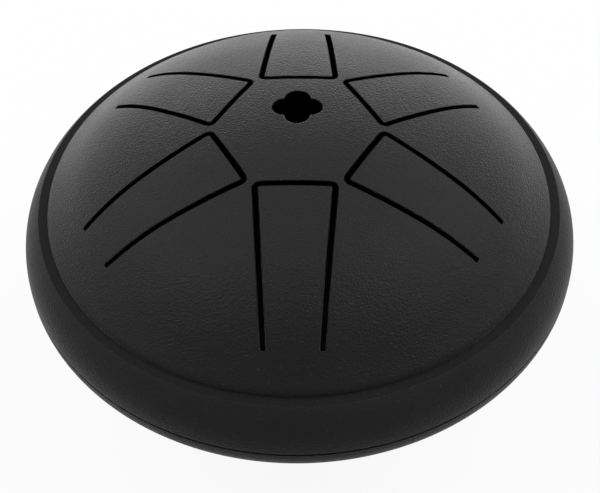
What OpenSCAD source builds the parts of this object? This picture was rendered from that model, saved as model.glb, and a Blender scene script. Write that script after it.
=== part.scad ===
// Small steel tongue drum: a domed top shell with six cut tongues, a bowl under
// it, the weld that joins them and three screwed rubber feet.
// Millimetres. +Z is up, the drum stands on Z = 0 and its axis is the Z axis.
// The front of the drum, with the longest tongue, faces -Y.

/* [Overall] */
// Largest diameter, at the seam between the two shells
rim_d = 140; // [120:1:180]
// Height of the whole drum on its feet
total_h = 80; // [76:1:100]
// Thickness of the steel sheet
wall = 1.2; // [0.8:0.1:1.6]

/* [Crown] */
// Rise of the crown above the flat ledge
crown_h = 22.4; // [20:0.1:26]
// Distance from the rim in to the foot of the crown
crown_in = 7.3; // [7:0.1:12]
// Radius of the crown's shallow middle as a share of the rim's diameter
crown_r_share = 0.893; // [0.8:0.001:1.1]
// Radius of the crown's steeper shoulder as a share of the rim's diameter
shoulder_r_share = 0.39; // [0.36:0.005:0.44]
// Height of the ledge above the seam
ledge_h = 11.6; // [9:0.1:13]
// Radius of the skirt that curves from the ledge down to the seam
skirt_r = 16; // [14.5:0.1:20]

/* [Tongues] */
// Distance from the axis to the slot that frees the tips
tip_r = 18.45; // [16:0.05:22]
// Sideways distance from a tip's corner to the line halfway to the next tongue
tip_gap = 1.37; // [1.2:0.01:3]
// Angle at which each side slot leans in towards the root
side_angle = 4.46; // [0:0.01:6]
// Width of the laser-cut slots
slot_w = 1.25; // [0.8:0.05:1.8]
// Radius of the slot's middle line at the tip corners
corner_r = 1.15; // [1:0.05:3]
// Radius of the corners at the slots' ends
end_r = 0.35; // [0.2:0.05:0.4]
// Distance from the rim in to the root of the front tongue, the lowest note
front_in = 15.3; // [14:0.05:20]
// Distance from the rim in to the root of the front left tongue
front_left_in = 16.8; // [14:0.05:22]
// Distance from the rim in to the root of the front right tongue
front_right_in = 18.9; // [15:0.05:24]
// Distance from the rim in to the root of the rear left tongue
rear_left_in = 20.3; // [16:0.05:26]
// Distance from the rim in to the root of the rear right tongue
rear_right_in = 22.05; // [17:0.05:28]
// Distance from the rim in to the root of the rear tongue, the highest note
rear_in = 24.9; // [18:0.05:32]
// Clearance at each tongue's root, where it flexes
root_clear = 0.04; // [0.03:0.01:0.08]

/* [Sound hole] */
// Distance from the axis back to the middle of the four-lobed hole
hole_back = 6.2; // [4:0.1:8]
// Diameter of each round lobe
lobe_d = 6.3; // [4:0.1:7]
// Distance from the middle of the hole to the middle of a lobe
lobe_out = 3.05; // [2:0.1:3.4]

/* [Bowl] */
// Diameter of the flat base
base_d = 80; // [74:1:84]
// Radius where the base turns up into the wall
base_r = 10; // [8:0.1:14]
// Radius of the bowl's slightly bulging wall
bowl_r = 250; // [200:5:400]
// Radius where the wall turns up to the seam
turn_r = 8.5; // [6:0.1:10]
// Height of the straight lip under the seam
lip_h = 1; // [0.6:0.1:2]

/* [Seam] */
// Height of the gap that the weld fills
weld_gap = 0.4; // [0.2:0.05:0.6]
// Depth at which the weld lies below the outer surface
weld_sink = 0.35; // [0.2:0.05:0.6]
// Radius of the weld's bead on the inside
weld_bead_r = 0.8; // [0.5:0.1:1.2]

/* [Feet] */
// Height of a rubber foot
foot_h = 7; // [6:0.1:9]
// Diameter of a foot against the base
foot_top_d = 15; // [13:0.1:16]
// Diameter of a foot on the floor
foot_floor_d = 12.5; // [11:0.1:14]
// Distance from the axis to the middle of a foot
foot_out = 32; // [28:0.1:32.4]
// Diameter of the recess in a foot
recess_d = 7.4; // [7.2:0.1:8]
// Depth of the recess in a foot
recess_h = 4.2; // [3.6:0.1:4.6]
// Diameter of the washer
washer_d = 7; // [6:0.1:7]
// Thickness of the washer
washer_h = 0.5; // [0.4:0.05:0.8]
// Thread diameter of the foot screw
screw_d = 3; // [2.5:0.1:3.2]
// Length of the foot screw under its head
screw_l = 8; // [7.4:0.1:10]
// Diameter of the screw's pan head
head_d = 5.6; // [5:0.1:5.8]
// Height of the screw's pan head
head_h = 1.8; // [1.4:0.1:2.2]
// Radius of the rounded rim of the pan head
head_round = 0.7; // [0.4:0.1:1]
// Length of the cross recess in the head
drive_l = 3; // [2.4:0.1:3.4]
// Width of the cross recess in the head
drive_w = 0.6; // [0.4:0.1:0.8]
// Depth of the cross recess in the head
drive_h = 1; // [0.6:0.1:1.2]
// Width across the flats of the nut
nut_w = 5.5; // [5:0.1:6]
// Height of the nut
nut_h = 2.4; // [2:0.1:2.8]
// Clearance between the screw and each hole it passes
screw_clear = 0.1; // [0.05:0.01:0.2]
// Clearance between the screw and the nut's bore
thread_clear = 0.04; // [0.02:0.01:0.06]

/* [Hidden] */
$fn = 180;

steel_black = [0.12, 0.12, 0.125];
rubber_black = [0.06, 0.06, 0.06];
zinc = [0.72, 0.73, 0.74];

rim_r = rim_d / 2;
crown_r = rim_d * crown_r_share;
shoulder_r = rim_d * shoulder_r_share;
base_z = foot_h;
ledge_z = total_h - crown_h;
seam_z = ledge_z - ledge_h;
lip_z = seam_z - lip_h;
// Length by which every cut runs past the solid that it cuts
over = wall;
// Length that reaches past every arc of the sections
reach = crown_r + bowl_r;

root_ins = [front_in, front_right_in, rear_right_in, rear_in, rear_left_in, front_left_in];
tongue_lengths = [for (d = root_ins) rim_r - d - tip_r];
// Turn from one tongue to the next
tongue_pitch = 60;
tongue_turns = [for (i = [0 : 5]) tongue_pitch * i - 90];
// Distance between the two side slots of a tongue, at its tip
tip_w = 2 * (tip_r * tan(tongue_pitch / 2) - tip_gap);
foot_turns = [-90, 30, 150];
// Sideways lean of the side slots for each unit of their length
lean = tan(side_angle);
// Straight steps in each small arc of the slots
arc_steps = 8;
// Height by which the shoulder's arc stands proud of the crown's, so that the two cross
join_h = 0.004;

// Where two circles meet, on the side towards which the turn from a to b points left
function meet(a, ra, b, rb) =
    let (d = norm(b - a), u = (b - a) / d, k = (ra * ra - rb * rb + d * d) / (2 * d))
    a + k * u + sqrt(ra * ra - k * k) * [-u[1], u[0]];
function turn_of(a, b) = atan2(b[1] - a[1], b[0] - a[0]);

// Middles of the arcs in the crown, skirt and bowl, as [distance from the axis, height]
crown_mid = [0, total_h - crown_r];
crown_foot = [rim_r - crown_in, ledge_z];
shoulder_mid = meet(crown_mid, crown_r - shoulder_r + join_h, crown_foot, shoulder_r);
shoulder_turn = turn_of(crown_mid, shoulder_mid);
skirt_mid = [rim_r - skirt_r, seam_z];
turn_mid = [rim_r - turn_r, lip_z];
base_mid = [base_d / 2, base_z + base_r];
bowl_mid = meet(base_mid, bowl_r - base_r, turn_mid, bowl_r - turn_r);
turn_end = turn_of(bowl_mid, turn_mid);
base_start = turn_of(bowl_mid, base_mid);

// Wedge from a middle out past every arc, between two turns less than 180 apart
module wedge(mid, a0, a1) {
    am = (a0 + a1) / 2;
    polygon([for (p = [[0, 0], [1, a0], [1, am], [1, a1]])
        mid + p[0] * reach * [cos(p[1]), sin(p[1])]]);
}

module disc(mid, r) {
    translate(mid) circle(r);
}

// Half outline of the crown, filled to the axis and moved in by inset
module crown_fill(inset) {
    intersection() {
        union() {
            intersection() {
                disc(crown_mid, crown_r - inset);
                wedge(crown_mid, shoulder_turn, 90);
            }
            disc(shoulder_mid, shoulder_r - inset);
        }
        translate([0, ledge_z - wall]) square([rim_r, crown_h + wall + over]);
    }
}

// Half outline of the ledge and skirt, filled to the axis and moved in by inset
module skirt_fill(inset) {
    intersection() {
        union() {
            disc(skirt_mid, skirt_r - inset);
            square([skirt_mid[0], total_h]);
        }
        translate([0, seam_z]) square([rim_r, ledge_h - inset]);
    }
}

// Half outline of the bowl, filled to the axis and moved in by inset
module bowl_fill(inset) {
    difference() {
        union() {
            translate([0, lip_z]) square([rim_r - inset, lip_h]);
            disc(turn_mid, turn_r - inset);
            disc(base_mid, base_r - inset);
            intersection() {
                disc(bowl_mid, bowl_r - inset);
                wedge(bowl_mid, base_start, turn_end);
                square([rim_r, total_h]);
            }
            polygon([[0, base_z + inset], [base_mid[0], base_z + inset], base_mid,
                turn_mid, [0, lip_z]]);
        }
        translate([0, seam_z]) square([rim_d, turn_r]);
    }
}

module crown_section() {
    difference() {
        crown_fill(0);
        crown_fill(wall);
    }
}

module top_section() {
    difference() {
        union() {
            crown_fill(0);
            skirt_fill(0);
        }
        crown_fill(wall);
        skirt_fill(wall);
        square([rim_d, seam_z + weld_gap / 2]);
    }
}

module bottom_section() {
    difference() {
        bowl_fill(0);
        bowl_fill(wall);
        translate([0, seam_z - weld_gap / 2]) square([rim_d, over]);
    }
}

function arc_points(mid, r, a0, a1) =
    [for (k = [0 : arc_steps]) let (a = a0 + (a1 - a0) * k / arc_steps)
        mid + r * [cos(a), sin(a)]];
function mirrored(points) =
    [for (k = [len(points) - 1 : -1 : 0]) [points[k][0], -points[k][1]]];

// Tip corner of a tongue whose slot's middle line is moved out by grow, X outwards
function tip_corner(grow) =
    arc_points([tip_r + corner_r, tip_w / 2 - corner_r * (lean + 1 / cos(side_angle))],
        corner_r + grow, 180, 90 - side_angle);

// Half the distance between the side slots' middle lines, l out from the tip
function half_w(l) = tip_w / 2 - l * lean;

module tongue_plan(l) {
    half = concat(tip_corner(-slot_w / 2), [[tip_r + l, half_w(l) - slot_w / 2 / cos(side_angle)]]);
    polygon(concat(half, mirrored(half)));
}

// Corner at the end of a side slot, on its outer side 1 or its inner side -1
function end_corner(l, side) =
    arc_points([tip_r + l, half_w(l) + side * (slot_w / 2 - end_r) / cos(side_angle)],
        end_r, 90 * max(side, 0) - side_angle, 90 * min(side, 0) - side_angle);

// Plan of the whole opening round a tongue, whose side slots have rounded ends
module slot_plan(l) {
    far_l = l + slot_w / 2 - end_r;
    half = concat(tip_corner(slot_w / 2), end_corner(far_l, 1), end_corner(far_l, -1),
        [[tip_r + l, half_w(l) - slot_w / 2 / cos(side_angle)]]);
    polygon(concat(half, mirrored(half)));
}

// Solid over a plan, tall enough to cut the crown
module through_crown() {
    translate([0, 0, ledge_z - wall - over])
        linear_extrude(crown_h + wall + 2 * over) children();
}

module sound_hole_plan() {
    square(lobe_out * sqrt(2), center = true);
    for (a = [0 : 90 : 270]) rotate(a) translate([lobe_out, 0]) circle(d = lobe_d);
}

module top_shell() {
    color(steel_black) difference() {
        rotate_extrude() top_section();
        for (i = [0 : 5]) rotate(tongue_turns[i])
            through_crown() slot_plan(tongue_lengths[i]);
        translate([0, hole_back, 0]) through_crown() sound_hole_plan();
    }
}

// Tongue number i, counted from the front one towards the right
module tongue(i) {
    color(steel_black) intersection() {
        rotate_extrude() crown_section();
        rotate(tongue_turns[i]) through_crown() tongue_plan(tongue_lengths[i] - root_clear);
    }
}

// Turns the children to foot number i
module at_foot(i) {
    rotate(foot_turns[i]) translate([foot_out, 0, 0]) children();
}

module bottom_shell() {
    color(steel_black) difference() {
        rotate_extrude() bottom_section();
        for (i = [0 : 2]) at_foot(i) translate([0, 0, base_z - over])
            cylinder(h = wall + 2 * over, d = screw_d + 2 * screw_clear);
    }
}

// Weld that fills the gap at the seam, with its bead on the inside
module rim_weld() {
    color(steel_black) rotate_extrude() difference() {
        union() {
            translate([rim_r - wall, seam_z - weld_gap / 2])
                square([wall - weld_sink, weld_gap]);
            translate([rim_r - wall, seam_z]) circle(weld_bead_r, $fn = 48);
        }
        top_section();
        bottom_section();
        translate([rim_r - weld_sink, seam_z - weld_gap]) square([weld_sink, 2 * weld_gap]);
    }
}

module foot(i) {
    color(rubber_black) at_foot(i) difference() {
        cylinder(h = foot_h, d1 = foot_floor_d, d2 = foot_top_d);
        translate([0, 0, -over]) cylinder(h = recess_h + over, d = recess_d);
        cylinder(h = foot_h + over, d = screw_d + 2 * screw_clear);
    }
}

module foot_washer(i) {
    color(zinc) at_foot(i) translate([0, 0, recess_h - washer_h]) difference() {
        cylinder(h = washer_h, d = washer_d);
        translate([0, 0, -over]) cylinder(h = washer_h + 2 * over, d = screw_d + 2 * screw_clear);
    }
}

module foot_screw(i) {
    head_z = recess_h - washer_h - head_h;
    color(zinc) at_foot(i) translate([0, 0, head_z]) difference() {
        union() {
            rotate_extrude() {
                translate([0, head_round]) square([head_d / 2, head_h - head_round]);
                square([head_d / 2 - head_round, head_h]);
                translate([head_d / 2 - head_round, head_round]) circle(head_round, $fn = 48);
            }
            cylinder(h = head_h + screw_l, d = screw_d);
        }
        for (a = [0, 90]) rotate(a) translate([-drive_l / 2, -drive_w / 2, -over])
            cube([drive_l, drive_w, drive_h + over]);
    }
}

module foot_nut(i) {
    color(zinc) at_foot(i) translate([0, 0, base_z + wall]) difference() {
        cylinder(h = nut_h, d = nut_w / cos(30), $fn = 6);
        translate([0, 0, -over]) cylinder(h = nut_h + 2 * over, d = screw_d + 2 * thread_clear);
    }
}

top_shell();
tongue(0);  // tongue_front
tongue(1);  // tongue_front_right
tongue(2);  // tongue_rear_right
tongue(3);  // tongue_rear
tongue(4);  // tongue_rear_left
tongue(5);  // tongue_front_left
bottom_shell();
rim_weld();
foot(0);  // foot_1
foot(1);  // foot_2
foot(2);  // foot_3
foot_washer(0);  // foot_washer_1
foot_washer(1);  // foot_washer_2
foot_washer(2);  // foot_washer_3
foot_screw(0);  // foot_screw_1
foot_screw(1);  // foot_screw_2
foot_screw(2);  // foot_screw_3
foot_nut(0);  // foot_nut_1
foot_nut(1);  // foot_nut_2
foot_nut(2);  // foot_nut_3
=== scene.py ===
"""Looks of the small steel tongue drum: its two shells, tongues, weld and screwed feet.

Lengths are in millimetres until they reach a mesh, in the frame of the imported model. A section
is a line of points, each a distance from the axis and a height.
"""

import math

import bpy
import numpy as np
from mathutils import Matrix, Vector
from mathutils.geometry import delaunay_2d_cdt


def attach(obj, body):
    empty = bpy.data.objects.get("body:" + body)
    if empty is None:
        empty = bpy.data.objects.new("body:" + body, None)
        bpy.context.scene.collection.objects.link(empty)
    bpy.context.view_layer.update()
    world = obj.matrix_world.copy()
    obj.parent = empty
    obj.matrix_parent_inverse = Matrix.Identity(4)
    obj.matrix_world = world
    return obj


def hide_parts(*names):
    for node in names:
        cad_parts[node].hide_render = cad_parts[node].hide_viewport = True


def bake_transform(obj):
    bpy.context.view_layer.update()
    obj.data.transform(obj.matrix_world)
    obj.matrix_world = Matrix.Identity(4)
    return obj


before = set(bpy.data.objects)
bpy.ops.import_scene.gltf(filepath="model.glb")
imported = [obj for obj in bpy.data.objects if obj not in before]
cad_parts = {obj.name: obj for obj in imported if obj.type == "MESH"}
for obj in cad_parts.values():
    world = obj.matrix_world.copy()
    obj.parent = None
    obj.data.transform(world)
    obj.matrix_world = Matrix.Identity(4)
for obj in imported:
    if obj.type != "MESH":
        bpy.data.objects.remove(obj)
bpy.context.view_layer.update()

MM = 0.001
# The turns in a section that face up and down
UP, DOWN = math.pi / 2, -math.pi / 2
# What counts as nothing: a distance or area, a run between two arcs, a gap between two points
TINY, NO_RUN, MERGED = 1e-9, 1e-6, 1e-7

# The shells, in sizes that the CAD source has too
RIM_R = 70.0
TOP_Z = 80.0
WALL = 1.2
CROWN_FOOT_R = 62.7
CROWN_R = 125.02
SHOULDER_R = 54.6
LEDGE_Z = 57.6
SKIRT_R = 16.0
SEAM_Z = 46.0
LIP_Z = 45.0
BASE_Z = 7.0
BASE_R = 40.0
BASE_BEND = 10.0
BOWL_R = 250.0
TURN_R = 8.5
WELD_GAP = 0.4
WELD_SINK = 0.35
WELD_BEAD_R = 0.8

# The tongues, from the front one anticlockwise as seen from above, and the sound hole
NAMES = ["front", "front_right", "rear_right", "rear", "rear_left", "front_left"]
ROOT_INS = [15.3, 18.9, 22.05, 24.9, 20.3, 16.8]
TONGUE_PITCH = 60
TIP_R = 18.45
TIP_GAP = 1.37
TIP_W = 2 * (TIP_R * math.tan(math.radians(TONGUE_PITCH / 2)) - TIP_GAP)
SIDE_ANGLE = math.radians(4.46)
SLOT_W = 1.25
CORNER_R = 1.15
END_R = 0.35
HOLE_BACK = 6.2
LOBE_R = 3.15
LOBE_OUT = 3.05

# The feet with their screws, washers and nuts
FOOT_OUT = 32.0
FOOT_TURNS = [-90, 30, 150]
FOOT_H, FOOT_TOP_R, FOOT_FLOOR_R = 7.0, 7.5, 6.25
RECESS_R, RECESS_H = 3.7, 4.2
WASHER_R, WASHER_H = 3.5, 0.5
SCREW_R, SCREW_L, SCREW_CLEAR = 1.5, 8.0, 0.1
HEAD_R, HEAD_H, HEAD_ROUND = 2.8, 1.8, 0.7
DRIVE_L, DRIVE_W, DRIVE_H = 3.0, 0.6, 1.0
NUT_W, NUT_H, THREAD_CLEAR = 5.5, 2.4, 0.04

# Detail that the scene adds: first the rounding that the coat leaves on the cut edges
LIP = 0.16
# Inside these radii the crown and the bowl's base are each one sheet with cut outlines, and
# outside them they are turned. There the crown runs straight down to the bend of its foot.
SHEET_R, BASE_SHEET_R = 56.3, 38.0
FOOT_BEND = 3.0
# Rounding outside where the crown meets the ledge, at the ledge's edge and at the seam, then
# inside under the ledge's edge and under the crown's foot
FOOT_FILLET = 0.18
LEDGE_EDGE = 0.3
GAP_EDGE = 0.15
UNDER_BEND = 1.0
INNER_BEND = 0.4
# Distance in from a tongue's root to a point on its middle line, handed on with the tongue
BEND = 9.0
# Ripples of the weld's bead: their number and depth, how unevenly they lie, and the longer
# swells of the bead
RIPPLES, RIPPLE_DEPTH = 170, 0.11
RIPPLE_DRIFTS, RIPPLE_DRIFT = 7, 0.35
SWELLS, SWELL_DEPTH = 23, 0.03
# Rounding of the weld's outer edges, and of the corners of a foot's and a washer's section,
# each from its hole's lower corner, up and round
WELD_EDGE = 0.12
FOOT_ROUNDS = [0.1, 0.4, 0.45, 0.6, 0.3, 0.15]
WASHER_ROUNDS = [0.06, 0.06, 0.14, 0.14]
# Screw thread: its pitch, its depth on the screw and in the nut, and its steps a pitch
PITCH = 0.5
THREAD_DEPTH, NUT_THREAD_DEPTH = 0.26, 0.2
THREAD_STEPS = 8

# Steps of a whole turn: of the shells, the weld, a foot, a washer or nut, a screw, a screw hole
SHELL_STEPS, WELD_STEPS, FOOT_STEPS, SMALL_STEPS, SCREW_STEPS = 360, 1440, 96, 72, 48
HOLE_STEPS = 32
# Gaps between points: over the crown, along a slot and a root line, over the bowl's base, the
# screw's head and the floor of its cross recess
CROWN_STEP, SLOT_STEP, ROOT_STEP, BASE_STEP, HEAD_STEP, DRIVE_STEP = 1.5, 0.9, 1.0, 2.5, 0.6, 0.4

# Numbers of a piece's materials: coated face, cut wall and ledge in a darker coat that is painted
# shade, and skirt in a coat with painted shade in its gloss and painted light in its base
FACE, CUT_SHADE, LEDGE_SHADE, SKIRT_LIGHT_SHADE = 0, 1, 2, 3


def meet(a, ra, b, rb):
    """Where two circles meet, on the left of the way from a to b."""
    a, b = np.array(a, float), np.array(b, float)
    d = np.linalg.norm(b - a)
    u = (b - a) / d
    k = (ra * ra - rb * rb + d * d) / (2 * d)
    return a + k * u + math.sqrt(ra * ra - k * k) * np.array([-u[1], u[0]])


def heading(a, b):
    """Turn of the way from a to b."""
    return math.atan2(b[1] - a[1], b[0] - a[0])


# Middles of the arcs in the section of the crown, skirt and bowl
crown_mid = np.array([0.0, TOP_Z - CROWN_R])
shoulder_mid = meet(crown_mid, CROWN_R - SHOULDER_R, (CROWN_FOOT_R, LEDGE_Z), SHOULDER_R)
skirt_mid = np.array([RIM_R - SKIRT_R, SEAM_Z])
turn_mid = np.array([RIM_R - TURN_R, LIP_Z])
base_mid = np.array([BASE_R, BASE_Z + BASE_BEND])
bowl_mid = meet(base_mid, BOWL_R - BASE_BEND, turn_mid, BOWL_R - TURN_R)


def crown_at(xy, inset):
    """Heights and normals of the crown's surface, moved in by inset, over points of the plan."""
    r = np.hypot(xy[:, 0], xy[:, 1])
    # The crown's two arcs meet at the radius split
    out = shoulder_mid - crown_mid
    split = (CROWN_R - inset) * out[0] / np.linalg.norm(out)
    mid_r = np.where(r < split, crown_mid[0], shoulder_mid[0])
    mid_z = np.where(r < split, crown_mid[1], shoulder_mid[1])
    size = np.where(r < split, CROWN_R, SHOULDER_R) - inset
    rise = np.sqrt(size**2 - (r - mid_r) ** 2)
    safe = np.maximum(r, TINY)
    lean = (r - mid_r) / size
    normal = np.column_stack([lean * xy[:, 0] / safe, lean * xy[:, 1] / safe, rise / size])
    return mid_z + rise, normal if inset == 0 else -normal


def crown_top(xy):
    return crown_at(xy, 0.0)


def crown_under(xy):
    return crown_at(xy, WALL)


def level(height, facing):
    """A flat surface at a height, which faces up for 1 and down for -1."""
    def surface(xy):
        return np.full(len(xy), height), np.tile([0.0, 0.0, facing], (len(xy), 1))
    return surface


class Form:
    """Points, normals and faces of one piece, in millimetres."""

    def __init__(self):
        self.points, self.normals, self.faces, self.kinds = [], [], [], {}

    def add(self, points, normals):
        """Adds points, and returns their numbers."""
        start = len(self.points)
        self.points.extend(map(tuple, points))
        self.normals.extend(map(tuple, normals))
        return list(range(start, len(self.points)))

    def strip(self, a, b, closed=True, kind=FACE):
        """Quads between two rows of points, outward when b lies right of a as the row runs on."""
        n = len(a)
        for i in range(n if closed else n - 1):
            j = (i + 1) % n
            if kind:
                self.kinds[len(self.faces)] = kind
            self.faces.append((a[i], a[j], b[j], b[i]))

    def piece(self, name, body, nodes, materials, slot, blend=None, sharp=False):
        mesh = bpy.data.meshes.new(name)
        points = np.array(self.points, float) * MM
        mesh.from_pydata([tuple(p) for p in points], [], self.faces)
        mesh.polygons.foreach_set("use_smooth", [not sharp] * len(mesh.polygons))
        if not sharp:
            mesh.normals_split_custom_set_from_vertices(self.normals)
        mesh.update()
        made = bpy.data.objects.new(name, mesh)
        bpy.context.scene.collection.objects.link(made)
        for material in materials:
            mesh.materials.append(material)
        for face, kind in self.kinds.items():
            mesh.polygons[face].material_index = kind
        if blend:
            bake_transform(made)
        else:
            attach(made, body)
        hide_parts(*nodes)
        return made


def arc_points(mid, radius, a0, a1, steps):
    """Points along an arc and their normals; a negative radius is a hollow arc."""
    turns = np.linspace(a0, a1, steps + 1)
    way = np.column_stack([np.cos(turns), np.sin(turns)])
    return np.array(mid) + abs(radius) * way, math.copysign(1.0, radius) * way


def section(arcs, gap=1.0):
    """A section's points and normals along arcs, with straight runs between them divided at gap.

    Each arc is a middle, a radius, the turns at its ends and its steps.
    """
    points, normals = [], []
    for mid, radius, a0, a1, steps in arcs:
        p, n = arc_points(mid, radius, a0, a1, steps)
        if points:
            run = np.linalg.norm(p[0] - points[-1])
            parts = max(1, int(round(run / gap)))
            for k in range(1, parts):
                t = k / parts
                points.append(points[-1] + (p[0] - points[-1]) / (parts - k + 1))
                normals.append(normals[-1] * (1 - t) + n[0] * t)
            if run < NO_RUN:
                p, n = p[1:], n[1:]
        points.extend(p)
        normals.extend(n)
    return np.array(points), np.array(normals)


def rounded(corners, radii, closed=True, steps=5):
    """A section's points and normals along straight runs with rounded corners.

    The run keeps the solid on its right, and a radius belongs to the corner with its number.
    """
    corners = [np.array(c, float) for c in corners]
    n = len(corners)
    points, normals = [], []
    for i in range(n):
        p = corners[i]
        if not closed and i in (0, n - 1):
            way = corners[1] - p if i == 0 else p - corners[-2]
            way = way / np.linalg.norm(way)
            points.append(p)
            normals.append(np.array([-way[1], way[0]]))
            continue
        u, w = corners[i - 1] - p, corners[(i + 1) % n] - p
        u, w = u / np.linalg.norm(u), w / np.linalg.norm(w)
        half = math.acos(max(-1.0, min(1.0, float(u @ w)))) / 2
        mid = p + (u + w) / np.linalg.norm(u + w) * radii[i] / math.sin(half)
        bulge = 1.0 if u[0] * w[1] - u[1] * w[0] > 0 else -1.0
        a0 = heading(mid, p + u * radii[i] / math.tan(half))
        a1 = heading(mid, p + w * radii[i] / math.tan(half))
        sweep = (a1 - a0 + math.pi) % (2 * math.pi) - math.pi
        arc, facing = arc_points(mid, radii[i], a0, a0 + sweep, steps)
        points.extend(arc)
        normals.extend(bulge * facing)
    return np.array(points), np.array(normals)


def turned(form, points, normals=None, closed=False, steps=SHELL_STEPS, bumps=None, kind=None):
    """Turns a section round the axis, and returns the rows of the form's point numbers.

    A form that is shaded flat needs no normals. bumps moves a section's point out, for its number
    and the turns, and kind tells the material between two of its points.
    """
    if normals is None:
        normals = np.zeros((len(points), 2))
    a = np.radians(np.arange(steps) * 360.0 / steps)
    c, s = np.cos(a), np.sin(a)
    rows = []
    for k in range(len(points)):
        r, z = points[k]
        if bumps is not None:
            r = r + bumps(k, a)
        place = np.column_stack([r * c, r * s, z + 0 * a])
        facing = np.column_stack([normals[k][0] * c, normals[k][0] * s, normals[k][1] + 0 * a])
        rows.append(form.add(place, facing))
    for k in range(len(rows) - 1):
        form.strip(rows[k + 1], rows[k], kind=kind(points[k], points[k + 1]) if kind else FACE)
    if closed:
        form.strip(rows[0], rows[-1])
    return rows


def line_of(stations, counts):
    """Points along stations, which are points or arcs, with counts steps on the straight runs."""
    out = []
    for station, count in zip(stations, counts):
        if out:
            a, b = out[-1], station[0]
            out.extend([a + (b - a) * k / count for k in range(1, count)])
        out.extend(station)
    return np.array(out)


# Number of the root among the stations of a slot's half
ROOT = 4


def slot_half(length, grow):
    """Stations of half a slot's outline, for a tongue along the x axis.

    They run from before the tip along the shell, round the slot's end, by the root and back
    along the tongue.
    """
    lean, upright = math.tan(SIDE_ANGLE), math.cos(SIDE_ANGLE)

    def half_w(far):
        return TIP_W / 2 - far * lean

    half_slot = SLOT_W / 2 + grow
    corner = [TIP_R + CORNER_R, TIP_W / 2 - CORNER_R * (lean + 1 / upright)]
    far = length + SLOT_W / 2 - END_R
    off = (SLOT_W / 2 - END_R) / upright
    left, ahead, right = UP - SIDE_ANGLE, -SIDE_ANGLE, DOWN - SIDE_ANGLE
    return [
        np.array([[TIP_R - half_slot, 0]]),
        arc_points(corner, CORNER_R + half_slot, math.pi, left, 8)[0],
        arc_points([TIP_R + far, half_w(far) + off], END_R + grow, left, ahead, 5)[0],
        arc_points([TIP_R + far, half_w(far) - off], END_R + grow, ahead, right, 5)[0],
        np.array([[TIP_R + length, half_w(length) - half_slot / upright]]),
        arc_points(corner, CORNER_R - half_slot, left, math.pi, 6)[0],
        np.array([[TIP_R + half_slot, 0]]),
    ]


def slot_cut(length, turn):
    """A slot's outlines in the plan, at its wall and at its lips, and the number of its root."""
    plain = slot_half(length, 0.0)
    runs = [np.linalg.norm(b[0] - a[-1]) for a, b in zip(plain[:-1], plain[1:])]
    counts = [1] + [max(1, int(round(run / SLOT_STEP))) for run in runs]
    root = sum(map(len, plain[:ROOT])) + sum(count - 1 for count in counts[1 : ROOT + 1])
    c, s = math.cos(turn), math.sin(turn)
    outlines = []
    for grow in (0.0, LIP):
        half = line_of(slot_half(length, grow), counts)
        outlines.append(np.vstack([half, half[-2:0:-1] * [1, -1]]) @ np.array([[c, s], [-s, c]]))
    return outlines, root


def lobed_outline(grow, steps=14):
    """Outline of the four-lobed sound hole, moved out by grow."""
    r = LOBE_R + grow
    cross = LOBE_OUT / 2 + math.sqrt(r * r - LOBE_OUT**2 / 2) / math.sqrt(2)
    edge = math.atan2(cross, cross - LOBE_OUT)
    points = []
    for k in range(4):
        turn = k * math.pi / 2
        mid = LOBE_OUT * np.array([math.cos(turn), math.sin(turn)])
        points.extend(arc_points(mid, r, turn - edge, turn + edge, steps)[0][:-1])
    return np.array(points) + [0, HOLE_BACK]


def circle_outline(mid, radius, steps):
    """Round outline."""
    return arc_points(mid, radius, 0, 2 * math.pi * (1 - 1 / steps), steps - 1)[0]


def inside(points, loop):
    """Which points lie inside a closed outline."""
    x, y = points[:, 0], points[:, 1]
    found = np.zeros(len(points), bool)
    ax, ay = loop[:, 0], loop[:, 1]
    bx, by = np.roll(ax, -1), np.roll(ay, -1)
    for i in range(len(loop)):
        if ay[i] == by[i]:
            continue
        hit = (ay[i] > y) != (by[i] > y)
        cut = (bx[i] - ax[i]) * (y - ay[i]) / (by[i] - ay[i]) + ax[i]
        found ^= hit & (x < cut)
    return found


def spread(rim, loops, fixed, gap):
    """Points spread evenly in rings inside rim, outside the loops and away from fixed points."""
    rings = []
    for k in range(1, int(np.hypot(rim[:, 0], rim[:, 1]).max() / gap)):
        r = k * gap
        m = int(round(2 * math.pi * r / gap))
        a = (np.arange(m) + 0.5 * (k % 2)) * 2 * math.pi / m
        rings.append(np.column_stack([r * np.cos(a), r * np.sin(a)]))
    free = np.vstack(rings)
    keep = inside(free, rim)
    for loop in loops:
        keep &= ~inside(free, loop)
    # Points this share of a gap or less from a fixed one are left out, a chunk at a time
    near_share, chunk = 0.55, 500
    for start in range(0, len(free), chunk):
        part = free[start : start + chunk]
        near = np.min(np.linalg.norm(part[:, None] - fixed[None], axis=2), axis=1)
        keep[start : start + chunk] &= near > near_share * gap
    return free[keep]


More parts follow.
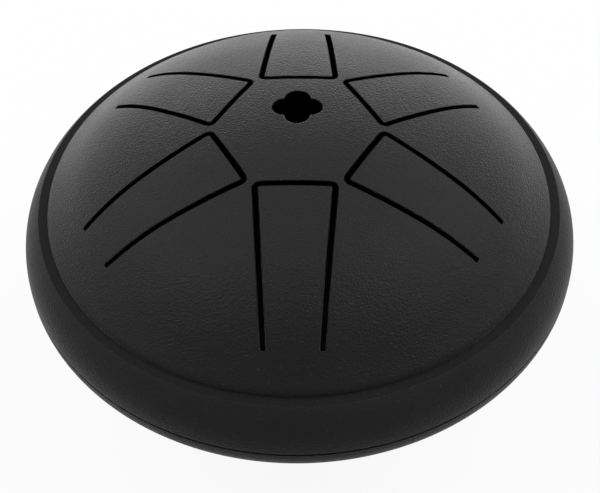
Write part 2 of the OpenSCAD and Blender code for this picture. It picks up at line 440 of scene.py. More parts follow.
class Plan:
    """Triangles over a plan: rim is the outer outline, loops are holes, lines are kept as edges.

    Each line is the numbers of its end points and the points between them.
    """

    def __init__(self, rim, loops, gap, lines=()):
        points, edges, self.starts = [rim], [], []
        n = len(rim)
        edges += [(i, (i + 1) % n) for i in range(n)]
        for loop in loops:
            self.starts.append(n)
            edges += [(n + i, n + (i + 1) % len(loop)) for i in range(len(loop))]
            points.append(loop)
            n += len(loop)
        for (first, last), between in lines:
            ids = [first] + list(range(n, n + len(between))) + [last]
            edges += list(zip(ids[:-1], ids[1:]))
            points.append(between)
            n += len(between)
        fixed = np.vstack(points)
        everything = np.vstack([fixed, spread(rim, loops, fixed, gap)])
        places, _, faces, sources = delaunay_2d_cdt(
            [Vector(p) for p in everything], edges, [], 0, MERGED)[:4]
        self.number = {source: out for out, group in enumerate(sources) for source in group}
        self.places = np.array([[p[0], p[1]] for p in places])
        faces = np.array([f for f in faces if len(f) == 3])
        middle = self.places[faces].mean(axis=1)
        keep = inside(middle, rim)
        for loop in loops:
            keep &= ~inside(middle, loop)
        a, b, c = (self.places[faces[:, i]] for i in range(3))
        u, w = b - a, c - a
        area = u[:, 0] * w[:, 1] - u[:, 1] * w[:, 0]
        faces[area < 0] = faces[area < 0][:, ::-1]
        self.faces = faces[keep & (np.abs(area) > TINY)]

    def rim_ids(self, laid, steps):
        """The form's numbers of the rim's points, once the plan is laid."""
        return [laid[self.number[k]] for k in range(steps)]

    def loop_ids(self, laid, loop, chain):
        """The form's numbers of a chain of a loop's points, once the plan is laid."""
        return [laid[self.number[self.starts[loop] + k]] for k in chain]


def lay(form, places, faces, surface, up):
    """Lays plan triangles on a surface, and returns the form's number for each plan point used."""
    used = np.unique(faces)
    z, normal = surface(places[used])
    ids = form.add(np.column_stack([places[used], z]), normal)
    number = {int(u): i for u, i in zip(used, ids)}
    for f in faces:
        ring = tuple(number[int(v)] for v in f)
        form.faces.append(ring if up else ring[::-1])
    return number


def sag(share):
    """Depth of a unit circle's arc over a share of its radius."""
    return 1 - math.sqrt(1 - share * share)


def lip_row(wall_line, lip_line, surface, share, facing):
    """Points and normals along a lip, at a share of the way from the wall to the sheet's face."""
    line = wall_line + (lip_line - wall_line) * sag(share)
    z, normal = surface(line)
    side = 1.0 if normal[0][2] > 0 else -1.0
    lean = normal * share + facing * (1 - share)
    lean /= np.linalg.norm(lean, axis=1)[:, None]
    return np.column_stack([line, z - side * LIP * sag(1 - share)]), lean


def cut_edge(form, outlines, surfaces, top_ids, low_ids, chain, closed):
    """Rounded edges and wall of a cut from the upper to the lower surface, along a chain."""
    wall_line, lip_line = outlines[0][chain], outlines[1][chain]
    out = lip_line - wall_line
    out /= np.linalg.norm(out, axis=1)[:, None]
    facing = np.column_stack([-out, np.zeros(len(out))])
    rows = [top_ids]
    for surface, shares in ((surfaces[0], (0.5, 0.0)), (surfaces[1], (0.0, 0.5))):
        for share in shares:
            rows.append(form.add(*lip_row(wall_line, lip_line, surface, share, facing)))
    rows.append(low_ids)
    # The wall and the rounding underneath take a darker coat: painted shade inside the cut
    for k, kind in enumerate((FACE, FACE, CUT_SHADE, CUT_SHADE, CUT_SHADE)):
        form.strip(rows[k], rows[k + 1], closed, kind=kind)


class Nodes:
    """A material's nodes, made and joined in short calls."""

    def __init__(self, name):
        self.material = bpy.data.materials.new(name)
        self.material.use_nodes = True
        self.tree = self.material.node_tree
        self.shader = self.tree.nodes["Principled BSDF"]
        place = self.tree.nodes.new("ShaderNodeTexCoord")
        self.place = place.outputs["Object"]

    def set(self, **values):
        """Sets the shader's values; a socket's spaces are underscores here."""
        for name, value in values.items():
            self.shader.inputs[name.replace("_", " ")].default_value = value

    def link(self, output, socket):
        """Joins an output to a socket of the shader."""
        self.tree.links.new(output, self.shader.inputs[socket])

    def noise(self, size, detail, roughness, stretch=None):
        """Noise whose patches are about size millimetres across."""
        node = self.tree.nodes.new("ShaderNodeTexNoise")
        node.inputs["Scale"].default_value = 1 / (size * MM)
        node.inputs["Detail"].default_value = detail
        node.inputs["Roughness"].default_value = roughness
        source = self.place
        if stretch:
            moved = self.tree.nodes.new("ShaderNodeMapping")
            moved.inputs["Scale"].default_value = stretch
            self.tree.links.new(source, moved.inputs["Vector"])
            source = moved.outputs["Vector"]
        self.tree.links.new(source, node.inputs["Vector"])
        return node.outputs["Fac"]

    def scaled(self, value, before, after=(0.0, 1.0)):
        """A value whose range before is moved to the range after."""
        node = self.tree.nodes.new("ShaderNodeMapRange")
        for name, number in zip(("From Min", "From Max", "To Min", "To Max"), before + after):
            node.inputs[name].default_value = number
        self.tree.links.new(value, node.inputs["Value"])
        return node.outputs["Result"]

    def mixed(self, value, a, b):
        """A colour between a and b, each a colour or an output."""
        node = self.tree.nodes.new("ShaderNodeMix")
        node.data_type = "RGBA"
        colour_a, colour_b, colour_out = node.inputs[6], node.inputs[7], node.outputs[2]
        for socket, colour in ((colour_a, a), (colour_b, b)):
            if isinstance(colour, tuple):
                socket.default_value = colour + (1,)
            else:
                self.tree.links.new(colour, socket)
        self.tree.links.new(value, node.inputs["Factor"])
        return colour_out

    def bumped(self, layers):
        """Joins bumps, each a height and its depth in millimetres, to the shader's normal."""
        normal = None
        for height, depth in layers:
            node = self.tree.nodes.new("ShaderNodeBump")
            node.inputs["Strength"].default_value = 1.0
            node.inputs["Distance"].default_value = depth * MM
            self.tree.links.new(height, node.inputs["Height"])
            if normal:
                self.tree.links.new(normal, node.inputs["Normal"])
            normal = node.outputs["Normal"]
        self.link(normal, "Normal")


# The middle part of a noise's range, where nearly all of it lies
MOST = (0.3, 0.7)

# Powder coat: patches across and depths of its grain and waviness, patches of its clouds and dust
GRAIN, GRAIN_DEPTH = 0.46, 0.2
WAVE, WAVE_DEPTH = 1.3, 0.015
CLOUD, SPECK = 14.0, 0.55
COAT_ROUGH = (0.39, 0.46)
COAT_SHEEN_ROUGH = 0.4
# Shares of the tone in its darker and paler clouds
DARK_SHARES, PALE_SHARES = (0.93, 0.93, 0.94), (1.07, 1.07, 1.07)
# Dust: its colour, where in the noise it starts and is full, and how much it hides there
DUST, DUST_RANGE, DUST_COVER = (0.09, 0.09, 0.09), (0.68, 0.8), 0.3


def black_steel(name, tone, ior, sheen, grit):
    """Satin black powder coat: fine raised grain, uneven gloss and a little rubbed dust."""
    coat = Nodes(name)
    coat.set(IOR=ior, Sheen_Weight=sheen, Sheen_Roughness=COAT_SHEEN_ROUGH)
    grain = coat.noise(GRAIN, detail=1.0, roughness=0.6)
    wave = coat.noise(WAVE, detail=2.0, roughness=0.5)
    cloud = coat.noise(CLOUD, detail=3.0, roughness=0.55)
    speck = coat.noise(SPECK, detail=1.0, roughness=0.5)
    coat.bumped([(wave, WAVE_DEPTH * grit), (grain, GRAIN_DEPTH * grit)])
    coat.link(coat.scaled(cloud, MOST, COAT_ROUGH), "Roughness")
    base = coat.mixed(coat.scaled(cloud, MOST), tuple(tone * share for share in DARK_SHARES),
                      tuple(tone * share for share in PALE_SHARES))
    dust = coat.mixed(coat.scaled(speck, DUST_RANGE, (0.0, DUST_COVER)), base, DUST)
    coat.link(dust, "Base Color")
    return coat.material


# Moulded rubber: patches and depths of its grain and scuffs, where in the noise the scuffs are
# seen, and the two greys
SKIN_GRAIN, SKIN_DEPTH = 0.25, 0.03
SCUFF, SCUFF_DEPTH, SCUFF_RANGE = 2.2, 0.02, (0.5, 0.75)
RUBBER_BLACK, RUBBER_GREY = (0.018, 0.018, 0.018), (0.045, 0.044, 0.043)
RUBBER_ROUGH = (0.62, 0.85)
RUBBER_IOR = 1.45


def foot_rubber():
    """Matt black rubber, moulded slightly rough and scuffed grey in places."""
    skin = Nodes("moulded_rubber")
    skin.set(IOR=RUBBER_IOR)
    grain = skin.noise(SKIN_GRAIN, detail=3.0, roughness=0.6)
    scuff = skin.noise(SCUFF, detail=4.0, roughness=0.65)
    skin.bumped([(grain, SKIN_DEPTH), (scuff, SCUFF_DEPTH)])
    skin.link(skin.scaled(scuff, MOST, RUBBER_ROUGH), "Roughness")
    skin.link(skin.mixed(skin.scaled(scuff, SCUFF_RANGE), RUBBER_BLACK, RUBBER_GREY),
              "Base Color")
    return skin.material


# Zinc plate: patches, depth and stretch of its turning marks, which lie level, and its clouds
MARK, MARK_DEPTH, MARK_STRETCH = 0.12, 0.006, (0.15, 0.15, 1.0)
PLATE_CLOUD = 1.6
ZINC_DARK, ZINC_PALE = (0.62, 0.63, 0.65), (0.72, 0.72, 0.71)
ZINC_ROUGH = (0.24, 0.42)


def zinc_steel():
    """Zinc-plated steel with fine turning marks and a slightly clouded plating."""
    plate = Nodes("zinc_plate")
    plate.set(Metallic=1.0)
    marks = plate.noise(MARK, detail=2.0, roughness=0.5, stretch=MARK_STRETCH)
    cloud = plate.noise(PLATE_CLOUD, detail=3.0, roughness=0.6)
    plate.bumped([(marks, MARK_DEPTH)])
    plate.link(plate.scaled(cloud, MOST, ZINC_ROUGH), "Roughness")
    plate.link(plate.mixed(plate.scaled(cloud, MOST), ZINC_DARK, ZINC_PALE), "Base Color")
    return plate.material


# The coat on the crown; copies of it darkened as painted shade in the cuts and on the ledge; and a
# copy on the skirt, bowl and weld with its gloss and sheen turned down as painted shade and its
# base paler as painted light
steel = black_steel("black_powder_coat", tone=0.005, ior=1.2, sheen=0.4, grit=1.0)
# Painted shade: a darker copy of the coat, without sheen, for the cut walls
cut_shade_steel = black_steel("black_coat_painted_shade_cuts", tone=0.003, ior=1.04, sheen=0.0, grit=0.5)
# Painted shade: a copy of the coat with less gloss and no sheen, which paints the ledge beside the
# crown's wall darker
ledge_shade_steel = black_steel("black_coat_painted_shade_ledge", tone=0.008, ior=1.12, sheen=0.0, grit=0.5)
# A copy of the coat for the skirt, bowl and weld: its weaker gloss and sheen are painted shade,
# its paler base painted light
skirt_light_shade_steel = black_steel("black_coat_painted_light_shade_skirt", tone=0.021, ior=1.12, sheen=0.1, grit=1.0)
rubber, zinc = foot_rubber(), zinc_steel()

# The crown's sheet with its slots and sound hole, laid out once for the shell and the tongues
lengths = [RIM_R - d - TIP_R for d in ROOT_INS]
turns = [math.radians(TONGUE_PITCH * i - 90) for i in range(len(NAMES))]
slots, roots = zip(*[slot_cut(length, turn) for length, turn in zip(lengths, turns)])
hole = [lobed_outline(grow) for grow in (0.0, LIP)]
slot_loops = [outlines[1] for outlines in slots]


def root_lines():
    """The tongues' root lines in the plan, from one inner corner of each slot to the other."""
    lines, start = [], SHELL_STEPS
    for loop, root in zip(slot_loops, roots):
        a, b = loop[root], loop[len(loop) - root]
        parts = int(round(np.linalg.norm(b - a) / ROOT_STEP))
        between = np.array([a + (b - a) * k / parts for k in range(1, parts)])
        lines.append(((start + root, start + len(loop) - root), between))
        start += len(loop)
    return lines


crown = Plan(circle_outline((0, 0), SHEET_R, SHELL_STEPS), slot_loops + [hole[1]], CROWN_STEP,
             root_lines())
middle = crown.places[crown.faces].mean(axis=1)
in_tongue = [inside(middle, loop[root : len(loop) - root + 1])
             for loop, root in zip(slot_loops, roots)]


def lay_crown(form, faces):
    """Lays triangles of the crown's plan on its upper and lower surfaces."""
    return (lay(form, crown.places, faces, crown_top, True),
            lay(form, crown.places, faces, crown_under, False))


def crown_cut(form, laid, loop, outlines, chain, closed=False):
    """Cuts the crown's sheet along a chain of the points of one of its plan's loops."""
    top, low = (crown.loop_ids(part, loop, chain) for part in laid)
    cut_edge(form, outlines, (crown_top, crown_under), top, low, chain, closed)


def make_tongue(i):
    """A tongue, cut free down its sides and round its tip, its mesh baked into the world frame."""
    form = Form()
    laid = lay_crown(form, crown.faces[in_tongue[i]])
    chain = list(range(roots[i], len(slot_loops[i]) - roots[i] + 1))
    crown_cut(form, laid, i, slots[i], chain)
    out = np.array([math.cos(turns[i]), math.sin(turns[i])])
    root_r = TIP_R + lengths[i]
    z = crown_at(root_r * out[None], WALL / 2)[0][0]
    root, bend_end = (tuple(np.append(out * r, z) * MM) for r in (root_r, root_r - BEND))
    form.piece("tongue_%s_skin" % NAMES[i], "drum_body", ["tongue_" + NAMES[i]],
               [steel, cut_shade_steel], "black_steel", ("tongue_" + NAMES[i], root, bend_end))


def height_on(mid, radius, r):
    """Height of a circle at a distance r from the axis."""
    return mid[1] + math.sqrt(radius * radius - (r - mid[0]) ** 2)


def fillet(mid, radius, z):
    """Middle of a circle at height z whose middle lies radius away from mid, on its outer side."""
    return np.array([mid[0] + math.sqrt(radius * radius - (z - mid[1]) ** 2), z])


def bend_middle(start, turn, radius, end):
    """Middle of the bend that leaves a straight run and passes through its end point.

    The run starts at start, where its outward side faces the direction turn.
    """
    facing = np.array([math.cos(turn), math.sin(turn)])
    way = np.array([facing[1], -facing[0]])
    back = start - radius * facing - end
    along = -back @ way - math.sqrt((back @ way) ** 2 - back @ back + radius * radius)
    return start - radius * facing + along * way


def shell_section():
    """Section of the top shell's turned part, over the ledge and skirt and back inside."""
    rim_top = np.array([SHEET_R, height_on(shoulder_mid, SHOULDER_R, SHEET_R)])
    rim_low = np.array([SHEET_R, height_on(shoulder_mid, SHOULDER_R - WALL, SHEET_R)])
    top_turn, low_turn = heading(shoulder_mid, rim_top), heading(shoulder_mid, rim_low)
    bend = bend_middle(rim_top, top_turn, FOOT_BEND, np.array([CROWN_FOOT_R, LEDGE_Z]))
    edge_z = SEAM_Z + WELD_GAP / 2
    foot = fillet(bend, FOOT_BEND + FOOT_FILLET, LEDGE_Z + FOOT_FILLET)
    ledge = fillet(skirt_mid, SKIRT_R - LEDGE_EDGE, LEDGE_Z - LEDGE_EDGE)
    gap_out = fillet(skirt_mid, SKIRT_R - GAP_EDGE, edge_z + GAP_EDGE)
    gap_in = fillet(skirt_mid, SKIRT_R - WALL + GAP_EDGE, edge_z + GAP_EDGE)
    under = fillet(skirt_mid, SKIRT_R - WALL - UNDER_BEND, LEDGE_Z - WALL - UNDER_BEND)
    inner = fillet(bend, FOOT_BEND - WALL + INNER_BEND, LEDGE_Z - WALL + INNER_BEND)
    ledge_turn, under_turn = heading(skirt_mid, ledge), heading(skirt_mid, under)
    foot_turn, inner_turn = heading(bend, foot), heading(bend, inner)
    points, normals = section([
        (shoulder_mid, SHOULDER_R, top_turn, top_turn, 0),
        (bend, FOOT_BEND, top_turn, foot_turn, 12),
        (foot, -FOOT_FILLET, foot_turn - math.pi, DOWN, 6),
        (ledge, LEDGE_EDGE, UP, ledge_turn, 5),
        (skirt_mid, SKIRT_R, ledge_turn, heading(skirt_mid, gap_out), 20),
        (gap_out, GAP_EDGE, heading(skirt_mid, gap_out), DOWN, 5),
        (gap_in, GAP_EDGE, DOWN, heading(gap_in, skirt_mid), 4),
        (skirt_mid, -(SKIRT_R - WALL), heading(skirt_mid, gap_in), under_turn, 12),
        (under, -UNDER_BEND, under_turn, UP, 5),
        (inner, INNER_BEND, DOWN, inner_turn - math.pi, 5),
        (bend, -(FOOT_BEND - WALL), inner_turn, top_turn, 8),
        (shoulder_mid, -(SHOULDER_R - WALL), low_turn, low_turn, 0),
    ])
    # Its two ends are points of the crown's sheet
    return points[1:-1], normals[1:-1]


def shell_kind(a, b):
    """Material of the turned part between two points of its section."""
    # The flat ledge ends at this radius, and a point on a face may lie this far inside it
    ledge_end, near_ledge, near_skirt = 65.1, 0.02, WALL / 3
    mid = (a + b) / 2
    # The flat ledge beside the crown's foot takes a darker coat: painted shade of the crown's wall
    if min(a[1], b[1]) > LEDGE_Z - near_ledge and CROWN_FOOT_R < mid[0] < ledge_end:
        return LEDGE_SHADE
    # The skirt's outside takes the coat with painted shade in its gloss and painted light in its
    # base
    if np.linalg.norm(mid - skirt_mid) > SKIRT_R - near_skirt and mid[1] < LEDGE_Z:
        return SKIRT_LIGHT_SHADE
    return FACE


def make_top_shell():
    """The top shell: the crown's sheet without the tongues, and the turned part round it."""
    shell = Form()
    laid = lay_crown(shell, crown.faces[~np.any(in_tongue, axis=0)])
    for i, (slot, root) in enumerate(zip(slots, roots)):
        n = len(slot_loops[i])
        crown_cut(shell, laid, i, slot, list(range(n - root, n)) + list(range(root + 1)))
    crown_cut(shell, laid, len(slots), hole, list(range(len(hole[1]))), closed=True)
    rows = turned(shell, *shell_section(), kind=shell_kind)
    top, low = (crown.rim_ids(part, SHELL_STEPS) for part in laid)
    shell.strip(rows[0], top)
    shell.strip(low, rows[-1])
    shell.piece("top_shell_skin", "drum_body", ["top_shell"],
                [steel, cut_shade_steel, ledge_shade_steel, skirt_light_shade_steel], "black_steel")


def bowl_section():
    """Section of the bowl, from the base's inner face up to the seam and back outside."""
    lip_z = SEAM_Z - WELD_GAP / 2 - GAP_EDGE
    wall_turn = heading(bowl_mid, turn_mid)
    base_turn = heading(bowl_mid, base_mid)
    return section([
        (base_mid, -(BASE_BEND - WALL), DOWN, base_turn, 10),
        (bowl_mid, -(BOWL_R - WALL), base_turn, wall_turn, 24),
        (turn_mid, -(TURN_R - WALL), wall_turn, 0.0, 8),
        ((RIM_R - WALL + GAP_EDGE, lip_z), GAP_EDGE, math.pi, UP, 4),
        ((RIM_R - GAP_EDGE, lip_z), GAP_EDGE, UP, 0.0, 4),
        (turn_mid, TURN_R, 0.0, wall_turn, 10),
        (bowl_mid, BOWL_R, wall_turn, base_turn, 24),
        (base_mid, BASE_BEND, base_turn, DOWN, 12),
    ])


def make_bowl():
    """The bowl: its flat base is one sheet with the screw holes cut in it."""
    bowl = Form()
    hole_r = SCREW_R + SCREW_CLEAR
    spots = [FOOT_OUT * np.array([math.cos(turn), math.sin(turn)])
             for turn in map(math.radians, FOOT_TURNS)]
    cuts = [[circle_outline(spot, hole_r + grow, HOLE_STEPS) for grow in (0.0, LIP)]
            for spot in spots]
    base = Plan(circle_outline((0, 0), BASE_SHEET_R, SHELL_STEPS), [cut[1] for cut in cuts],
                BASE_STEP)
    faces = level(BASE_Z + WALL, 1.0), level(BASE_Z, -1.0)
    laid = (lay(bowl, base.places, base.faces, faces[0], True),
            lay(bowl, base.places, base.faces, faces[1], False))
    chain = list(range(HOLE_STEPS))
    for i, cut in enumerate(cuts):
        top, low = (base.loop_ids(part, i, chain) for part in laid)
        cut_edge(bowl, cut, faces, top, low, chain, True)
    rows = turned(bowl, *bowl_section())
    top, low = (base.rim_ids(part, SHELL_STEPS) for part in laid)
    bowl.strip(rows[0], top)
    bowl.strip(low, rows[-1])
    # The bowl takes the skirt's coat, with its painted shade and painted light
    bowl.piece("bottom_shell_skin", "drum_body", ["bottom_shell"], [skirt_light_shade_steel, cut_shade_steel],
               "black_steel")


def make_weld():
    """The weld, smooth in the groove outside and rippled on its bead inside."""
    groove_r, high, low = RIM_R - WELD_SINK, SEAM_Z + WELD_GAP / 2, SEAM_Z - WELD_GAP / 2
    inner_r = RIM_R - WALL
    points, normals = rounded([(inner_r, high), (groove_r, high), (groove_r, low), (inner_r, low)],
                              [0, WELD_EDGE, WELD_EDGE, 0], closed=False)
    bead, bead_facing = arc_points((inner_r, SEAM_Z), WELD_BEAD_R, DOWN, DOWN - math.pi, 12)
    bead_start = len(points)
    points, normals = np.vstack([points, bead]), np.vstack([normals, bead_facing])

    def ripple(k, a):
        if k <= bead_start or k >= len(points) - 1:
            return 0 * a
        wave = np.abs(np.sin(a * RIPPLES + RIPPLE_DRIFT * np.sin(RIPPLE_DRIFTS * a)))
        rise = RIPPLE_DEPTH * (1 - wave) + SWELL_DEPTH * np.sin(SWELLS * a)
        return rise * -normals[k][0]

    weld = Form()
    turned(weld, points, normals, closed=True, steps=WELD_STEPS, bumps=ripple)
    # The weld takes the skirt's coat, with its painted shade and painted light
    weld.piece("rim_weld_bead", "drum_body", ["rim_weld"], [skirt_light_shade_steel], "black_steel")


def foot_form():
    """A rubber foot round its own axis, with its recess and screw hole."""
    hole_r = SCREW_R + SCREW_CLEAR
    foot = Form()
    points, normals = rounded(
        [(hole_r, RECESS_H), (hole_r, FOOT_H), (FOOT_TOP_R, FOOT_H), (FOOT_FLOOR_R, 0),
         (RECESS_R, 0), (RECESS_R, RECESS_H)],
        FOOT_ROUNDS, steps=7)
    turned(foot, points, normals, closed=True, steps=FOOT_STEPS)
    return foot


def washer_form():
    """A washer, its outer edges more rounded than those of its hole."""
    hole_r, low = SCREW_R + SCREW_CLEAR, RECESS_H - WASHER_H
    washer = Form()
    points, normals = rounded(
        [(hole_r, low), (hole_r, RECESS_H), (WASHER_R, RECESS_H), (WASHER_R, low)],
        WASHER_ROUNDS)
    turned(washer, points, normals, closed=True, steps=SMALL_STEPS)
    return washer


def cross_outline(long_side, short_side):
    """Outline of a cross recess with round arm ends."""
    l, w = long_side / 2, short_side / 2
    tip = arc_points((l - w, 0), w, DOWN, UP, 6)[0]
    quarter = np.vstack([[[w, -w]], tip])
    out = []
    for k in range(4):
        c, s = math.cos(k * math.pi / 2), math.sin(k * math.pi / 2)
        out.append(quarter @ np.array([[c, s], [-s, c]]))
    return np.vstack(out)


def thread_wave(z, a):
    """Distance, in shares of half a pitch, from the thread's crest at a height and turns."""
    return np.abs(2 * ((z / PITCH - a / (2 * math.pi)) % 1.0) - 1)


def screw_form():
    """A pan-head screw with its thread and cross recess, head down."""
    head_z = RECESS_H - WASHER_H - HEAD_H
    seat_z, tip_z = head_z + HEAD_H, head_z + HEAD_H + SCREW_L
    face_r = HEAD_R - HEAD_ROUND
    # Where the thread starts over the seat, how much of the shank is plain, the chamfer of the
    # point, and the radius of the tip's smallest ring
    thread_from, plain, chamfer, middle_r = 0.02, 0.22, 0.25, 0.0005
    count = int(SCREW_L / PITCH * THREAD_STEPS)
    thread = [(SCREW_R, seat_z + thread_from + (SCREW_L - plain) * k / count)
              for k in range(count, -1, -1)]
    head = arc_points((face_r, head_z + HEAD_ROUND), HEAD_ROUND, DOWN, 0.0, 8)[0]
    points = np.vstack([[(middle_r, tip_z), (SCREW_R - chamfer, tip_z)], thread,
                        [(SCREW_R, seat_z), (HEAD_R, seat_z)], head[::-1]])

    def groove(k, a):
        if k < 1 or k > len(thread) + 1:
            return 0 * a
        return -THREAD_DEPTH * thread_wave(points[k][1], a)

    screw = Form()
    rows = turned(screw, points, steps=SCREW_STEPS, bumps=groove)
    cross = cross_outline(DRIVE_L, DRIVE_W)
    face = Plan(circle_outline((0, 0), face_r, SCREW_STEPS), [cross], HEAD_STEP)
    laid = lay(screw, face.places, face.faces, level(head_z, -1.0), False)
    screw.strip(face.rim_ids(laid, SCREW_STEPS), rows[-1])
    mouth = face.loop_ids(laid, 0, range(len(cross)))
    floor = Plan(cross, [], DRIVE_STEP)
    laid = lay(screw, floor.places, floor.faces, level(head_z + DRIVE_H, -1.0), False)
    screw.strip(floor.rim_ids(laid, len(cross)), mouth)
    return screw


def nut_form():
    """A hexagon nut with chamfered corners and a threaded bore."""
    nut_z, bore_r = BASE_Z + WALL, SCREW_R + THREAD_CLEAR
    # The bore's chamfer and where its thread starts, then where the cone that cuts the nut's
    # corners starts on its faces, and the cone's slope
    chamfer, thread_in, cone_in, cone_lean = 0.25, 0.2, 0.1, math.tan(math.radians(30))
    # Heights of the side's rows over the lower face, and then the same under the upper one
    heights = [0, 0.06, 0.12, 0.2, 0.3, 0.42]
    heights = heights + [NUT_H - h for h in heights[::-1]]
    side = [(NUT_W / 2 - cone_in + min(h, NUT_H - h) / cone_lean, nut_z + h) for h in heights]
    count = int(NUT_H / PITCH * THREAD_STEPS)
    bore = [(bore_r, nut_z + thread_in + (NUT_H - 2 * thread_in) * k / count)
            for k in range(count + 1)]
    points = np.array([(bore_r + chamfer, nut_z + NUT_H)] + side[::-1]
                      + [(bore_r + chamfer, nut_z)] + bore)

    def shape(k, a):
        if 1 <= k <= len(side):
            hexagon = NUT_W / 2 / np.cos(a % (math.pi / 3) - math.pi / 6)
            return np.minimum(hexagon, points[k][0]) - points[k][0]
        if k > len(side) + 1:
            return NUT_THREAD_DEPTH * thread_wave(points[k][1], a)
        return 0 * a

    nut = Form()
    turned(nut, points, closed=True, steps=SMALL_STEPS, bumps=shape)
    return nut


def placed(form, number):
    """A copy of a form at a foot's place."""
    turn = math.radians(FOOT_TURNS[number])
    c, s = math.cos(turn), math.sin(turn)
    spin = np.array([[c, s, 0], [-s, c, 0], [0, 0, 1]])
    copy = Form()
    copy.points = list(np.array(form.points) @ spin + [FOOT_OUT * c, FOOT_OUT * s, 0])
    copy.normals = list(np.array(form.normals) @ spin)
    copy.faces = form.faces
    return copy


def make_feet():
    """The three feet, each with its washer, screw and nut."""
    parts = ((foot_form(), "foot", rubber, "foot_rubber", False),
             (washer_form(), "foot_washer", zinc, "zinc_steel", False),
             (screw_form(), "foot_screw", zinc, "zinc_steel", True),
             (nut_form(), "foot_nut", zinc, "zinc_steel", True))
    for number in range(len(FOOT_TURNS)):
        for form, part, material, slot, sharp in parts:
            name = "%s_%d" % (part, number + 1)
            placed(form, number).piece(name + "_detail", "drum_body", [name], [material], slot,
                                       sharp=sharp)


for i in range(len(NAMES)):
    make_tongue(i)
make_top_shell()
make_bowl()
make_weld()
make_feet()

# Where the photograph was taken from: the camera's place, what it looks at, its roll, and its
# focal length and the picture's width in pixels
EYE = Vector((7.166, -198.27, 260.25)) * MM
AIM = Vector((0.09, 0.0, 35.81)) * MM
ROLL = math.radians(-1.32)
FOCAL_PX, PICTURE_PX = 1123.6, 600
SENSOR_MM = 36.0


def stand_camera():
    """The camera, at the photograph's place."""
    way = (AIM - EYE).normalized()
    side = way.cross(Vector((0, 0, 1))).normalized()
    above = side.cross(way)
    right = math.cos(ROLL) * side + math.sin(ROLL) * above
    up = -math.sin(ROLL) * side + math.cos(ROLL) * above
    lens = bpy.data.cameras.new("camera")
    lens.sensor_width = SENSOR_MM
    lens.lens = FOCAL_PX / PICTURE_PX * SENSOR_MM
    lens.clip_start, lens.clip_end = 0.01, 50.0
    camera = bpy.data.objects.new("camera", lens)
    bpy.context.scene.collection.objects.link(camera)
    camera.matrix_world = Matrix((
        (right[0], up[0], -way[0], EYE[0]),
        (right[1], up[1], -way[1], EYE[1]),
        (right[2], up[2], -way[2], EYE[2]),
        (0, 0, 0, 1)))
    bpy.context.scene.camera = camera


stand_camera()

# A plain pale floor and a dim sky. Both are white in what the camera sees, in reflections and
# through clear things, and the floor keeps a little of the drum's shadow. The sky's strength,
# then the floor's share of white, its own grey, and its reach from the middle in metres.
SKY = 0.03
FLOOR_WHITE, FLOOR_GREY, FLOOR_REACH = 0.93, 0.86, 6


def seen_white(tree, other, white_share):
    """Mixes a shader with a white one that camera, glossy and transmission rays meet.

    The caller joins the white one to the third input of the mix that this returns.
    """
    path = tree.nodes.new("ShaderNodeLightPath")
    total = path.outputs["Is Camera Ray"]
    for name in ("Is Glossy Ray", "Is Transmission Ray"):
        most = tree.nodes.new("ShaderNodeMath")
        most.operation = "MAXIMUM"
        tree.links.new(total, most.inputs[0])
        tree.links.new(path.outputs[name], most.inputs[1])
        total = most.outputs[0]
    share = tree.nodes.new("ShaderNodeMath")
    share.operation = "MULTIPLY"
    tree.links.new(total, share.inputs[0])
    share.inputs[1].default_value = white_share
    mix = tree.nodes.new("ShaderNodeMixShader")
    tree.links.new(share.outputs[0], mix.inputs[0])
    tree.links.new(other, mix.inputs[1])
    return mix


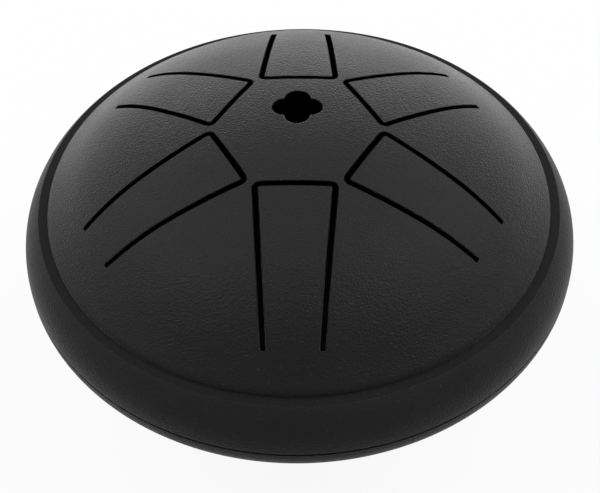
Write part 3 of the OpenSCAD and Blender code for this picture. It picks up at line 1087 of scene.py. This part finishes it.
def lay_floor():
    """The floor, whose white leaves a small share to its own matt colour."""
    mesh = bpy.data.meshes.new("floor")
    far = FLOOR_REACH
    mesh.from_pydata([(-far, -far, 0), (far, -far, 0), (far, far, 0), (-far, far, 0)], [],
                     [(0, 1, 2, 3)])
    floor = bpy.data.objects.new("floor", mesh)
    bpy.context.scene.collection.objects.link(floor)
    pale = bpy.data.materials.new("pale_floor")
    pale.use_nodes = True
    tree = pale.node_tree
    matt = tree.nodes["Principled BSDF"]
    matt.inputs["Base Color"].default_value = (FLOOR_GREY, FLOOR_GREY, FLOOR_GREY, 1)
    matt.inputs["Roughness"].default_value = 1.0
    matt.inputs["Specular IOR Level"].default_value = 0.0
    mix = seen_white(tree, matt.outputs[0], FLOOR_WHITE)
    white = tree.nodes.new("ShaderNodeEmission")
    white.inputs["Strength"].default_value = 1.0
    tree.links.new(white.outputs[0], mix.inputs[2])
    tree.links.new(mix.outputs[0], tree.nodes["Material Output"].inputs["Surface"])
    mesh.materials.append(pale)


def hang_sky():
    """The world: a dim even light, and white where it is seen."""
    world = bpy.data.worlds.new("studio")
    bpy.context.scene.world = world
    world.use_nodes = True
    tree = world.node_tree
    dim = tree.nodes["Background"]
    white = tree.nodes.new("ShaderNodeBackground")
    for node, strength in ((dim, SKY), (white, 1.0)):
        node.inputs["Color"].default_value = (1, 1, 1, 1)
        node.inputs["Strength"].default_value = strength
    mix = seen_white(tree, dim.outputs[0], 1.0)
    tree.links.new(white.outputs[0], mix.inputs[2])
    tree.links.new(mix.outputs[0], tree.nodes["World Output"].inputs["Surface"])


lay_floor()
hang_sky()

# How far off the soft lamps stand in metres, and then the lamps: name, bearing and rise in
# degrees, width and height in metres, and strength. The low one behind grazes the crown's far
# edge.
LAMP_AWAY = 1.3
LAMPS = [("low_back", 90, 3.5, 1.5, 0.18, 7.0), ("top", 90, 55, 1.0, 0.7, 1.6),
         ("left", 170, 55, 0.8, 0.8, 4.7), ("right", 10, 55, 0.8, 0.8, 5.1)]


def soft_lamp(name, bearing, rise, wide, tall, strength):
    """An area lamp that faces the drum, whose brightness doesn't depend on its size."""
    lamp = bpy.data.lights.new(name + "_lamp", "AREA")
    lamp.shape = "RECTANGLE"
    lamp.size, lamp.size_y = wide, tall
    lamp.energy = strength * math.pi * wide * tall
    bearing, rise = math.radians(bearing), math.radians(rise)
    way = Vector((math.cos(rise) * math.cos(bearing), math.cos(rise) * math.sin(bearing),
                  math.sin(rise)))
    made = bpy.data.objects.new(name + "_lamp", lamp)
    bpy.context.scene.collection.objects.link(made)
    made.matrix_world = Matrix.Translation(AIM + LAMP_AWAY * way) @ way.to_track_quat(
        "Z", "Y").to_matrix().to_4x4()
    made.visible_camera = False


for lamp in LAMPS:
    soft_lamp(*lamp)

bpy.context.scene.view_settings.view_transform = "Standard"
